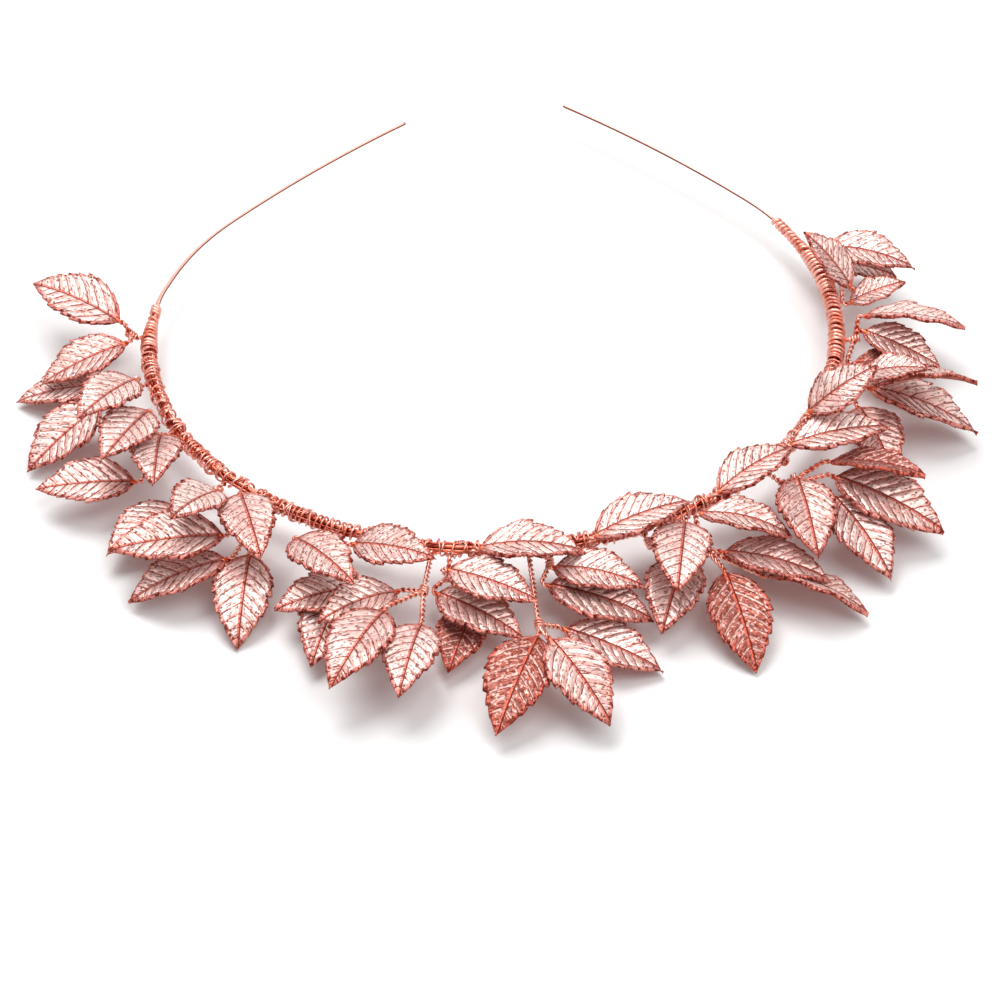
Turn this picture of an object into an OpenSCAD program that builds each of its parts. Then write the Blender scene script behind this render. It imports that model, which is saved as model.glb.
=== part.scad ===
// Leaf headband: a springy open band with metal leaf sprigs bound to it by wound wire.
// Millimetres. The origin is the centre of the head opening, in the plane of the band:
// +X to the wearer's side on the right, +Y to the open ends, +Z up as it lies on a table.

/* [Band] */
// Radius of the band over the forehead
front_r = 76.5; // [72:0.5:84]
// Half of the angle that the forehead arc turns through
front_turn = 42; // [38:1:46]
// Radius of the band at the temples
side_r = 53.5; // [50:0.5:57]
// Angle that each temple arc turns through
side_turn = 90; // [86:1:94]
// Radius of the bare arms behind the ears
arm_r = 280; // [200:10:400]
// Length of the band from the middle of the front to an open end
band_half = 188; // [180:1:195]
// Distance from the origin forward to the middle of the front
front_reach = 50.4; // [46:0.2:56]
// Width of the flat spring strip
band_w = 1.4; // [1.2:0.1:1.6]
// Thickness of the strip
band_t = 0.6; // [0.5:0.05:0.7]
// Lean of the strip, its upper edge towards the head
band_lean = 40; // [30:1:50]
// Bevel along the strip's four edges
band_bevel = 0.15; // [0.1:0.01:0.2]

/* [Garland] */
// Station where the wound part ends on the left, along the band from the middle
garland_left = -112; // [-116:1:-110]
// Station where the wound part ends on the right
garland_right = 131.5; // [130:0.5:135]
// Thickness of the two vine wires laid along the strip
vine_d = 0.8; // [0.7:0.05:0.9]
// Bare strip left under each end wrap, before the vine wires start
vine_inset = 7; // [6.5:0.5:9]
// Thickness of the binding wire
wire_d = 0.6; // [0.5:0.05:0.65]
// Clearance between pieces that rest on each other
seat = 0.12; // [0.1:0.01:0.2]
// Extra looseness of the hand-wound turns round the bundle
wind_slack = 0.12; // [0.1:0.01:0.3]
// Turns of the left end wrap
left_turns = 7; // [6:1:7]
// Length of band under the left end wrap
left_wrap = 14; // [14:0.5:15]
// Turns of the right end wrap
right_turns = 22; // [20:1:22]
// Length of band under the right end wrap
right_wrap = 44; // [44:0.5:46]
// Turns of the open binding between the wraps
bind_turns = 58; // [50:1:60]
// Length of each end wrap that tapers down to the bare strip
wrap_taper = 6; // [5:0.5:6]

/* [Leaves] */
// Length of a leaf of size 1
leaf_len = 20; // [18:0.5:21]
// Width of a leaf of size 1
leaf_w = 11.6; // [10:0.2:12.4]
// Thickness of the leaf metal
leaf_t = 0.5; // [0.4:0.05:0.6]
// Height of the raised midrib
rib_h = 0.35; // [0.2:0.05:0.5]
// Width of the raised midrib
rib_w = 1; // [0.8:0.1:1.4]
// Depth of the notches between teeth, as a share of the half width
tooth = 0.13; // [0.05:0.01:0.2]
// Angle that each half of a leaf is folded up by
fold = 12; // [4:1:18]
// Rise of a leaf's back between its base and its tip
arch = 1.2; // [0.4:0.1:1.8]
// Half width of the neck where a leaf meets its stem
neck = 0.45; // [0.4:0.05:0.6]

/* [Stems] */
// Thickness of a sprig's main stem
stem_d = 1; // [0.8:0.05:1.1]
// Thickness of the stalk of one leaf
stalk_d = 0.8; // [0.6:0.05:0.9]
// Straight run of a stalk into its leaf
stalk_run = 1.4; // [1.2:0.1:2]
// Thickness of the knot where stalks part, over the stem
knot_over = 0.5; // [0.3:0.05:0.7]
// Length of the knot along the stem
knot_len = 1.6; // [1.2:0.1:2]

/* [Flex] */
// Inward set of the left arm where it leaves its wrap
left_arm_set = 5; // [0:1:9]
// Inward set of the right arm where it leaves its wrap
right_arm_set = 1; // [0:1:9]
// Gap where a springy arm leaves the wrapped part
flex_gap = 0.3; // [0.25:0.05:0.4]

/* [Hidden] */
$fn = 32;
band_facets = 96;
copper = [0.86, 0.52, 0.45];
pale_copper = [0.93, 0.66, 0.6];
deep_copper = [0.72, 0.33, 0.27];

// Run of the band up to the end of the forehead arc, and of the temple arc
front_run = front_r * front_turn * PI / 180;
side_run = front_run + side_r * side_turn * PI / 180;

// Each sprig: its knot as [station, out from the band, up], then its leaves, each
// [station, out, up, heading from straight out, pitch, roll, size]
SPRIGS = [
    [[-102.5, 4, 1], [
        [-105, 6.5, 2, -25, 6, -8, 1],
        [-100, 5, 1, 23, -10, 0, 0.95]]],
    [[-89.5, 5, -1], [
        [-94, 9.5, -3.5, -4, -8, 5, 0.92],
        [-87, 4.5, 4.5, 41, 16, -6, 0.95],
        [-87.5, 12, -1, 27, -14, -5, 0.97]]],
    [[-75.5, 5, 0], [
        [-79.5, 4.5, 3.5, 41, 13, -8, 0.95],
        [-74.5, 4.5, 1.5, 59, 15, 0, 0.9],
        [-70, 13.5, -1.5, -30, 1, -6, 0.95]]],
    [[-58.5, 5, 0], [
        [-56, 6, 3, 9, 26, -5, 0.86],
        [-62.5, 10.5, -3, 1, 0, 0, 0.88],
        [-49.5, 13.5, 2, -47, 0, 0, 1.08]]],
    [[-48, 6, -1], [
        [-52.5, 4, 3, 51, 6, 0, 0.95],
        [-47.5, 16, -1, -37, -12, 8, 1],
        [-45.5, 12, -2, 26, -13, 0, 1]]],
    [[-32.5, 4.5, -1], [
        [-38.5, 8, 2.5, 64, 12, 0, 0.95],
        [-28.5, 5.5, 3, 88, 8, 8, 0.84],
        [-26, 11, -2, -51, 4, 0, 0.84],
        [-29, 11.5, -4.5, 3, 2, 0, 0.95]]],
    [[-15, 11.5, 0.5], [
        [-20, 19, 2, -15, 2, 0, 1.05],
        [-19.5, 11.5, -1, -48, 5, 0, 0.84],
        [-14.5, 19.5, 0, -4, 6, 0, 0.95]]],
    [[-11.5, 6, -1.5], [
        [-7, 10.5, -5, -14, 4, 0, 0.85],
        [-13, 10, -2, 62, 0, 0, 0.97],
        [-11.5, 7, 1.5, 69, 2, 0, 0.93],
        [-6, 3, 3.4, 89, -1, -12, 0.98]]],
    [[6.5, 4, -0.5], [
        [7, 6, 0.3, 62, 4, 0, 0.88],
        [5.5, 9.5, -0.5, 63, -6, 0, 1.04],
        [15, 3, 3.8, 98, 4, -10, 1]]],
    [[3, 19, 0], [
        [2.5, 22, 0, -26, -8, 0, 1.1],
        [4, 24.5, 2, 27, -13, 0, 1],
        [7, 18, -3.5, 57, -7, 0, 1]]],
    [[25, 4.5, 0], [
        [31.5, 5, 3, -34, 8, 0, 1],
        [30, 8.5, -2.5, -41, 2, 0, 1]]],
    [[33.5, 10, -1], [
        [35, 4.5, 3, 42, -1, -15, 0.9],
        [35.5, 12.5, -0.5, 42, -3, -12, 1.04],
        [38.5, 19.5, -2, 37, -8, -35, 1.07],
        [33.5, 16.5, -1, -14, -15, 0, 1.05]]],
    [[53.5, 6.5, 0], [
        [40.5, 2.5, 3.8, 91, 5, -8, 0.9],
        [54, 8.5, 3, -36, -2, 0, 1],
        [57, 15, 0, -16, -13, 0, 1.02],
        [59.5, 13, 1.5, 12, -9, 0, 1.16],
        [60.5, 11, 3.5, 20, 8, -25, 0.92]]],
    [[83, 5, -1.5], [
        [58.5, 3, 4.4, 52, 4, -8, 0.97],
        [79.5, 7, -3.5, -56, 3, 0, 1]]],
    [[77, 5, 2], [
        [65.5, 2, 7, 56, 28, 12, 0.8],
        [80.5, 8.5, 1.5, 0, -14, -12, 1.15],
        [78, 9, 4.5, 20, 5, -35, 1.05],
        [78.5, 7, 6.5, 10, 18, 0, 0.7]]],
    [[93.5, 4, 0.5], [
        [88, 4, -1, 4, -6, -16, 0.84],
        [94.5, 5.5, 1.5, -23, -10, 0, 0.86],
        [97, 6, 3, -9, 0, -30, 1]]],
    [[110, 4, 0.5], [
        [103.5, 4, 0, 5, 18, 0, 0.6],
        [117, 3, 2.5, -38, -2, 0, 0.95],
        [117.5, 4, -1.5, -40, -2, 0, 0.75],
        [104.5, 4, 3.5, 141, 40, 0, 0.75]]]];

function two_digits(k) = str(k < 10 ? "0" : "", k);
function leaves_name(k) = str("sprig_", two_digits(k + 1), "_leaves");
function stem_name(k) = str("sprig_", two_digits(k + 1), "_stem");

// Band: three tangent arcs a side, followed by the distance along it from the middle of the front
function unit(v) = v / norm(v);
function heading(s) =
    let (a = abs(s))
    sign(s) * 180 / PI * (a < front_run ? a / front_r :
        a < side_run ? front_run / front_r + (a - front_run) / side_r :
        front_run / front_r + (side_run - front_run) / side_r + (a - side_run) / arm_r);
function outward(s) = [sin(heading(s)), -cos(heading(s)), 0];
function along(s) = [cos(heading(s)), sin(heading(s)), 0];
function front_centre() = [0, front_r - front_reach, 0];
function side_centre(side) = front_centre() + (front_r - side_r) * outward(side * front_run);
function arm_centre(side) = side_centre(side) + (side_r - arm_r) * outward(side * side_run);
function band_point(s) =
    let (a = abs(s), side = s < 0 ? -1 : 1)
    a < front_run ? front_centre() + front_r * outward(s) :
    a < side_run ? side_centre(side) + side_r * outward(s) :
    arm_centre(side) + arm_r * outward(s);
function place(s, out, up) = band_point(s) + out * outward(s) + [0, 0, up];

// Bundle of the strip and its two vine wires, in the plane across the band as [out, up]
strip_face = [cos(band_lean), sin(band_lean)];
strip_edge = [-sin(band_lean), cos(band_lean)];
vine_off = band_t / 2 + seat + vine_d / 2;
vine_apart = vine_d / 2 + seat / 2;
upper_vine = vine_off * strip_face + vine_apart * strip_edge;
lower_vine = vine_off * strip_face - vine_apart * strip_edge;
bundle_depth = band_t + seat + vine_d;
bundle_mid = (bundle_depth / 2 - band_t / 2) * strip_face;
strip_reach = norm([band_w / 2, bundle_depth / 2]);
vine_reach = norm([vine_apart, vine_off - norm(bundle_mid)]) + vine_d / 2;
wound_r = max(strip_reach, vine_reach) + wind_slack + wire_d / 2;
bare_r = norm([band_w, band_t]) / 2 + wind_slack + wire_d / 2;

// Windings: [first station, last station, turns]
wrap_end = wire_d;
left_end = [garland_left + wrap_end, garland_left + left_wrap, left_turns];
right_end = [garland_right - right_wrap, garland_right - wrap_end, right_turns];
middle = [left_end[1] + 2 * wire_d, right_end[0] - 2 * wire_d, bind_turns];
rings_per_turn = 8;
tube_sides = 6;

// Share of the full bundle that a turn at station s goes round
function fullness(s) = max(0, min(1, (s - garland_left) / wrap_taper, (garland_right - s) / wrap_taper));
function turn_point(s, angle) =
    let (r = bare_r + (wound_r - bare_r) * fullness(s), mid = bundle_mid * fullness(s))
    place(s, mid[0] + r * cos(angle), mid[1] + r * sin(angle));
function bundle_axis(s) = place(s, bundle_mid[0] * fullness(s), bundle_mid[1] * fullness(s));
function pitch(w) = (w[1] - w[0]) / w[2];
function rings(w) = w[2] * rings_per_turn;
function ring_station(w, i) = w[0] + (w[1] - w[0]) * max(0, min(1, i / rings(w)));
function winding_axis(w) = [for (i = [-1 : rings(w) + 1]) bundle_axis(ring_station(w, i))];
function winding_path(w) =
    let (n = rings(w),
         turns = [for (i = [0 : n]) turn_point(ring_station(w, i), 360 * i / rings_per_turn)],
         first = turns[0] + wire_d * unit(turns[0] - turns[1]),
         last = turns[n] + wire_d * unit(turns[n] - turns[n - 1]))
    concat([first], turns, [last]);
function least_gap(p) =
    min([for (i = [0 : len(p) - 6])
         for (j = [i + 5 : min(i + rings_per_turn + 4, len(p) - 1)]) norm(p[i] - p[j])]) - wire_d;
function station_near(w, s) =
    let (turn = max(0, min(w[2] - 1, round((s - w[0]) / pitch(w) - 0.5))))
    w[0] + (turn + 0.5) * pitch(w);
function between_turns(s) =
    s < left_end[1] ? station_near(left_end, s) :
    s > right_end[0] ? station_near(right_end, s) :
    station_near(middle, s);

echo(least_gap_left_end_wrap = least_gap(winding_path(left_end)));
echo(least_gap_binding_wire = least_gap(winding_path(middle)));
echo(least_gap_right_end_wrap = least_gap(winding_path(right_end)));

// Stems: where one starts on the bundle, and how far out it has cleared the windings
stem_start = lower_vine[0] + vine_d / 2 + seat;
stem_clear = wound_r + wire_d / 2 + stem_d / 2 + bundle_mid[0] - stem_start + seat;
stem_sides = 10;
// How far a straight run goes on past its bend, as a share of the wire, and how much thinner the next run is
bend_over = 0.3;
stalk_step = 0.04;
stalk_stagger = 0.5;
// A leaf whose base lies nearer to the band than this has a short stem of its own
own_stem_out = 3.2;
function over_band(row) = row[1] < own_stem_out;

// One unbroken tube along a path that winds round an axis, with its faces as triangles
function tube_ring(p, axis, i, d) =
    let (n = len(p),
         t = unit(p[min(i + 1, n - 1)] - p[max(i - 1, 0)]),
         side = unit(cross(t, p[i] - axis[i])),
         lift = cross(side, t))
    [for (k = [0 : tube_sides - 1])
        p[i] + d / 2 * (cos(360 * k / tube_sides) * side + sin(360 * k / tube_sides) * lift)];
function tube_faces(rings) =
    let (m = tube_sides)
    concat(
        [for (i = [0 : rings - 2]) for (k = [0 : m - 1])
            for (f = [[i * m + k, (i + 1) * m + (k + 1) % m, (i + 1) * m + k],
                      [i * m + k, i * m + (k + 1) % m, (i + 1) * m + (k + 1) % m]]) f],
        [for (k = [1 : m - 2]) [0, k + 1, k]],
        [for (k = [1 : m - 2]) [(rings - 1) * m, (rings - 1) * m + k, (rings - 1) * m + k + 1]]);
module winding(w) {
    path = winding_path(w);
    axis = winding_axis(w);
    polyhedron([for (i = [0 : len(path) - 1]) each tube_ring(path, axis, i, wire_d)], tube_faces(len(path)));
}

// Leaf: a loft of thin folded sections, base to tip, with five teeth a side and a raised midrib
leaf_spans = 11;
section_points = 8;
tip_half = 0.15;
// How full the outline is towards the base and towards the tip, and how far the rib fills a narrow section
base_fullness = 0.75;
tip_fullness = 1.1;
rib_share = 0.7;
function outline_curve(t) = pow(t, base_fullness) * pow(1 - t, tip_fullness);
function leaf_outline(t) = outline_curve(t) / outline_curve(base_fullness / (base_fullness + tip_fullness));
function half_width(i, size) =
    i == 0 ? neck :
    i == leaf_spans ? tip_half :
    max(neck, leaf_w / 2 * size * leaf_outline(i / leaf_spans) * (i % 2 == 1 ? 1 : 1 - tooth));
function leaf_section(i, size) =
    let (t = i / leaf_spans,
         w = half_width(i, size),
         back = 4 * arch * size * t * (1 - t),
         r = min(rib_w / 2, w * rib_share),
         x = leaf_len * size * t,
         edge = back + w * tan(fold),
         rib_side = back + r * tan(fold),
         rib = rib_h * min(1, w / rib_w),
         h = leaf_t / 2)
    [[x, w, edge + h], [x, r, rib_side + h], [x, 0, back + h + rib], [x, -r, rib_side + h],
     [x, -w, edge + h], [x, -w, edge - h], [x, 0, back - h], [x, w, edge - h]];
function leaf_axes(row) =
    let (flat = cos(row[3]) * outward(row[0]) + sin(row[3]) * along(row[0]),
         d = cos(row[4]) * flat + [0, 0, sin(row[4])],
         level = unit(cross([0, 0, 1], d)),
         normal = cross(d, level))
    [d, cos(row[5]) * level + sin(row[5]) * normal, cos(row[5]) * normal - sin(row[5]) * level];
function leaf_base(row) = place(row[0], row[1], row[2]);
function leaf_points(row) =
    let (axes = leaf_axes(row), base = leaf_base(row))
    [for (i = [0 : leaf_spans]) for (q = leaf_section(i, row[6])) base + q * axes];
function leaf_faces(first) =
    let (m = section_points,
         last = first + leaf_spans * m,
         cap = [[7, 0, 1], [7, 1, 6], [1, 2, 6], [2, 3, 6], [3, 5, 6], [3, 4, 5]])
    concat(
        [for (i = [0 : leaf_spans - 1]) for (k = [0 : m - 1])
            let (a = first + i * m + k, b = first + i * m + (k + 1) % m)
            for (f = [[a, a + m, b + m], [a, b + m, b]]) f],
        [for (c = cap) [for (v = c) first + v]],
        [for (c = cap) [for (j = [2, 1, 0]) last + c[j]]]);

// Straight wire between two points, carried on past either end
module rod(a, b, d, before = 0, after = 0) {
    v = b - a;
    translate(a - before * unit(v))
        rotate([0, acos(v[2] / norm(v)), atan2(v[1], v[0])])
            cylinder(h = norm(v) + before + after, d = d, $fn = stem_sides);
}

// Wire bent once, with the run after the bend a little thinner
module bent_wire(from, bend, to, d) {
    rod(from, bend, d, 0, bend_over * d);
    rod(bend, to, d - stalk_step, bend_over * d, 0);
}

// Strip of the band across its width, bevelled along its edges
module strip_section() {
    w = band_w / 2;
    t = band_t / 2;
    b = band_bevel;
    rotate(band_lean)
        polygon([
            [t, b - w], [t, w - b], [t - b, w], [b - t, w],
            [-t, w - b], [-t, b - w], [b - t, -w], [t - b, -w]]);
}

// Sweep of a section from the origin, where it stands across the X axis, along one arc
module arc(radius, angle) {
    translate([-radius, 0])
        rotate_extrude(angle = angle, $fn = band_facets)
            translate([radius, 0])
                children();
}

// Moves what starts at the origin to a station on the right half, with X turned outward
module at_station(s) {
    translate(band_point(s))
        rotate(heading(s) - 90)
            children();
}

// Right half of a sweep, from the middle of the front to a station on the temple
module half_sweep(to) {
    past_middle = 1;
    difference() {
        at_station(front_run) {
            arc(front_r, -front_turn - past_middle) children();
            arc(side_r, heading(to) - front_turn) children();
        }
        translate([-2 * front_r, -2 * front_r, -front_r])
            cube([2 * front_r, 4 * front_r, 2 * front_r]);
    }
}

// Sweep over the wound part, from one temple to the other, given the length of each half
module front_sweep(left, right) {
    half_sweep(right) children();
    mirror([1, 0, 0]) half_sweep(left) children();
}

// Bare arm on the right, from the mouth of its wrap to the open end, turned inward by its set
module arm(mouth, set) {
    start = mouth + flex_gap / 2;
    translate(band_point(mouth))
        rotate(set)
            translate(-band_point(mouth))
                at_station(side_run) {
                    arc(side_r, heading(start) - heading(side_run)) strip_section();
                    arc(arm_r, heading(band_half) - heading(side_run)) strip_section();
                }
}

module headband_front() {
    color(copper)
        front_sweep(-garland_left - flex_gap / 2, garland_right - flex_gap / 2) strip_section();
}

module headband_left_arm() {
    color(copper)
        mirror([1, 0, 0]) arm(-garland_left, left_arm_set);
}

module headband_right_arm() {
    color(copper) arm(garland_right, right_arm_set);
}

module vine_wire(offset) {
    color(deep_copper)
        front_sweep(-garland_left - vine_inset, garland_right - vine_inset)
            translate(offset) circle(d = vine_d);
}

module upper_vine_wire() {
    vine_wire(upper_vine);
}

module lower_vine_wire() {
    vine_wire(lower_vine);
}

module left_end_wrap() {
    color(copper) winding(left_end);
}

module binding_wire() {
    color(copper) winding(middle);
}

module right_end_wrap() {
    color(copper) winding(right_end);
}

module sprig_leaves(k) {
    leaves = SPRIGS[k][1];
    per_leaf = section_points * (leaf_spans + 1);
    color(pale_copper)
        polyhedron(
            [for (row = leaves) each leaf_points(row)],
            [for (j = [0 : len(leaves) - 1]) each leaf_faces(j * per_leaf)]);
}

// Place where a stem leaves the bundle, between two turns, and where it has cleared the windings
function stem_root(s, run) = place(between_turns(s), stem_start + run, lower_vine[1]);

// Stalk of one leaf, from where it leaves the stem, straight into the leaf's neck
module stalk(from, row, d) {
    heading_in = leaf_axes(row)[0];
    bent_wire(from, leaf_base(row) - stalk_run * heading_in, leaf_base(row) - seat * heading_in, d);
}

// Stem that leaves the bundle square to it, between two turns
module stem(s, to) {
    bent_wire(stem_root(s, 0), stem_root(s, stem_clear), to, stem_d);
}

// Collar of wire turns round the end of a stem, where its stalks part
module knot_collar(elbow, knot) {
    half = knot_len / 2 * unit(knot - elbow);
    rod(knot - half, knot + half, stem_d + knot_over);
}

module sprig_stem(k) {
    at = SPRIGS[k][0];
    leaves = SPRIGS[k][1];
    knot = place(at[0], at[1], at[2]);
    elbow = stem_root(at[0], stem_clear);
    fan = [for (row = leaves) if (!over_band(row)) row];
    color(copper) {
        stem(at[0], knot);
        knot_collar(elbow, knot);
        for (j = [0 : len(fan) - 1])
            stalk(knot + (elbow - knot) * stalk_stagger * j / len(fan), fan[j], stalk_d - stalk_step * j);
        for (row = leaves)
            if (over_band(row)) {
                s = row[0] - stalk_run * sin(row[3]);
                top = stem_root(s, stem_clear) + [0, 0, stem_d];
                stem(s, top);
                stalk(top, row, stalk_d);
            }
    }
}

headband_front();
headband_left_arm();
headband_right_arm();
upper_vine_wire();
lower_vine_wire();
left_end_wrap();
binding_wire();
right_end_wrap();
for (k = [0 : len(SPRIGS) - 1]) {
    sprig_leaves(k);
    sprig_stem(k);
}
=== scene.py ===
"""Leaf headband in rose gold.

Embossed leaves on twisted stems, bound by wound wire to an open spring strip.
"""

import math

import bmesh
import bpy
import numpy as np
from bpy.props import FloatProperty, FloatVectorProperty, IntProperty, PointerProperty
from bpy.types import NodeSocket, Operator, Panel, PropertyGroup
from mathutils import Matrix, Vector


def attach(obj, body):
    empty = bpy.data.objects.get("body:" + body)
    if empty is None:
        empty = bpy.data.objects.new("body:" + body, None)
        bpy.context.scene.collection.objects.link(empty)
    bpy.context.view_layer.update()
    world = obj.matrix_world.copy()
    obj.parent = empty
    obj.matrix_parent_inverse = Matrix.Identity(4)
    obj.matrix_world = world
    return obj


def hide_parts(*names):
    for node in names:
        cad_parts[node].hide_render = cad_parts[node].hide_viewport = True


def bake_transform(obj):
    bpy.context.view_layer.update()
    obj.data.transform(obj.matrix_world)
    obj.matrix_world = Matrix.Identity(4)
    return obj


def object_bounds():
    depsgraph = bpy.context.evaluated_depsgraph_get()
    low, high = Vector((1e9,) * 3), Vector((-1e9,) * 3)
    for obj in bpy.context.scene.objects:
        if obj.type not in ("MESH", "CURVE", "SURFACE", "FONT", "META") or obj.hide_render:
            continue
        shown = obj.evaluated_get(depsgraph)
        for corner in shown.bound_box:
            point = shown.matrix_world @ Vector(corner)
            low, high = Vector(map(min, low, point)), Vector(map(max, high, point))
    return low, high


bl_info = {
    "name": "Leaf Headband",
    "version": (1, 0, 0),
    "blender": (4, 5, 0),
    "location": "3D View > Sidebar > Headband",
    "description": "Dresses an open headband with embossed leaves, twisted stems and wound wire",
    "category": "Add Mesh",
}

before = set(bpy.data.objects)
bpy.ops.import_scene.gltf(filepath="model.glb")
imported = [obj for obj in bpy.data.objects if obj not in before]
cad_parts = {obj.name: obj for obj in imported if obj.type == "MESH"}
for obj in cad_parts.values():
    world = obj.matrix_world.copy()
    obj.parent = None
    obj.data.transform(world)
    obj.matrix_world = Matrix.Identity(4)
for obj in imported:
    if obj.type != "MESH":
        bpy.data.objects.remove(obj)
CAD_LOW, CAD_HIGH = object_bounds()
MM = 0.001
UP = Vector((0, 0, 1))
LEAF_NODES = sorted(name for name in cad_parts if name.endswith("_leaves"))
STEM_NODES = sorted(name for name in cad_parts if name.endswith("_stem"))

# Knot of each sprig in millimetres: station along the band, distance out from it, height
KNOTS = (
    (-102.5, 4, 1),
    (-89.5, 5, -1),
    (-75.5, 5, 0),
    (-58.5, 5, 0),
    (-48, 6, -1),
    (-32.5, 4.5, -1),
    (-15, 11.5, 0.5),
    (-11.5, 6, -1.5),
    (6.5, 4, -0.5),
    (3, 19, 0),
    (25, 4.5, 0),
    (33.5, 10, -1),
    (53.5, 6.5, 0),
    (83, 5, -1.5),
    (77, 5, 2),
    (93.5, 4, 0.5),
    (110, 4, 0.5),
)
# Spans of the band in millimetres where the open binding is wound closer
CLOSE_SPANS = ((-106, -90), (-70, -62), (-47, -28), (1, 8), (30, 36), (60, 72), (80, 95))
# Leaves painted in the deep colour as painted shade, with painted highlights on their ridges: a sprig's node
# and the leaf's place in it from the left
SHADED_LEAVES = {
    "sprig_08_leaves": 2,
    "sprig_10_leaves": 0,
    "sprig_12_leaves": 1,
    "sprig_13_leaves": 3,
    "sprig_16_leaves": 0,
}
# Soft boxes: name, place in metres, size in metres, power in watts
LAMPS = (
    ("key", (-0.2, 0.4, 1.05), 0.65, 8.7),
    ("fill", (0.45, -0.35, 1.1), 0.8, 5.1),
)
ARM_RINGS = 140
WHITE = (1, 1, 1, 1)
AMBIENT = 0.45  # strength of the world's light
FLOOR_MIRROR = 0.6  # share of plain white that the metal sees in the floor
# Grain of the plate and of its painted glints, in features per metre
WAVER, PATCHES, BREAKS, RIM_GAPS = 450, 260, 700, 1000
DOTS, GLINT_SPECKS, PORES, DRAW_MARKS = 1000, 1300, 2600, 3200
# Plates of the wires and the strip: bright and deep colour, patches per metre, least and most roughness
PLATES = {
    "stem_wire": ("wire_bright", "wire_deep", 420, 0.22, 0.36),
    "binding_wire": ("wire_bright", "wire_deep", 420, 0.22, 0.36),
    # The wires under the binding get a darker copy of the wire plate as painted shade
    "bound_wire": ("shaded_bound_bright", "shaded_bound_deep", 300, 0.25, 0.4),
    "strip_metal": ("strip_bright", "wire_bright", 60, 0.3, 0.42),
}


def length(name, description, millimetres):
    """A size that a user would change, shown as a length."""
    return FloatProperty(
        name=name, description=description, default=millimetres * MM, unit="LENGTH", precision=5
    )


def angle(name, description, degrees):
    """An angle that a user would change."""
    return FloatProperty(
        name=name, description=description, default=math.radians(degrees), subtype="ANGLE"
    )


def colour(name, description, rgb):
    """A colour that a user would change."""
    return FloatVectorProperty(
        name=name, description=description, default=rgb, size=3, min=0, max=1, subtype="COLOR"
    )


class BandSettings(PropertyGroup):
    """Path of the band and the strip that it is made of."""

    front_radius: length("Front Radius", "Radius of the band over the forehead", 76.5)
    front_turn: angle("Front Turn", "Half of the angle of the forehead arc", 42)
    side_radius: length("Side Radius", "Radius of the band at the temples", 53.5)
    side_turn: angle("Side Turn", "Angle of each temple arc", 90)
    arm_radius: length("Arm Radius", "Radius of the bare arms", 280)
    half_length: length("Half Length", "Band from the middle of the front to an open end", 188)
    front_reach: length("Front Reach", "Distance from the origin to the middle of the front", 50.4)
    strip_width: length("Strip Width", "Width of the flat spring strip", 1.4)
    strip_thickness: length("Strip Thickness", "Thickness of the strip", 0.6)
    strip_lean: angle("Strip Lean", "Lean of the strip, its upper edge towards the head", 40)
    strip_round: length("Edge Rounding", "Rounding along the strip's edges", 0.18)
    left_mouth: length("Left Mouth", "Station where the left arm leaves its wrap", -112)
    right_mouth: length("Right Mouth", "Station where the right arm leaves its wrap", 131.5)
    left_set: angle("Left Set", "Inward set of the left arm", 5)
    right_set: angle("Right Set", "Inward set of the right arm", 1)
    set_run: length("Set Run", "Length over which an arm takes its set", 6)


class LeafSettings(PropertyGroup):
    """One leaf of size 1 and how the leaves vary."""

    blade_length: length("Length", "Length of a leaf of size 1", 20)
    blade_width: length("Width", "Width of a leaf of size 1", 11.6)
    thickness: length("Thickness", "Thickness of the leaf metal", 0.5)
    neck: length("Neck", "Half width where a leaf meets its stalk", 0.45)
    tip: length("Tip", "Half width of the tip", 0.12)
    fold: angle("Fold", "Angle that each half of a leaf is folded up by", 12)
    arch: length("Arch", "Rise of a leaf's back between its base and its tip", 1.2)
    teeth: IntProperty(name="Teeth", description="Teeth along each margin", default=10, min=4)
    tooth_depth: FloatProperty(
        name="Tooth Depth", description="Depth of a tooth as a share of the half width", default=0.12
    )
    veins: IntProperty(name="Side Veins", description="Side veins in a leaf's length", default=9, min=3)
    vein_lean: FloatProperty(
        name="Vein Lean", description="Run of a side vein towards the tip for its run outward", default=0.72
    )
    vein_curl: length("Vein Curl", "Run of a side vein towards the tip by the curl at its end", 2.2)
    quilt: length("Quilting", "Rise of the panels between the side veins", 0.3)
    midrib: length("Midrib", "Rise of the midrib", 0.22)
    bead: length("Bead", "Rise of the rolled and beaded margin", 0.26)
    roll: length("Roll", "Width of the rolled margin", 0.8)
    bend: length("Bend", "Most that a leaf's back is bent by hand", 0.7)
    twist: length("Twist", "Most that a leaf's tip is twisted by hand, at its margin", 0.5)
    ripple: length("Ripple", "Waviness of the margins", 0.3)
    seed: IntProperty(name="Seed", description="Seed of the leaves' variation", default=7)


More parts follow.
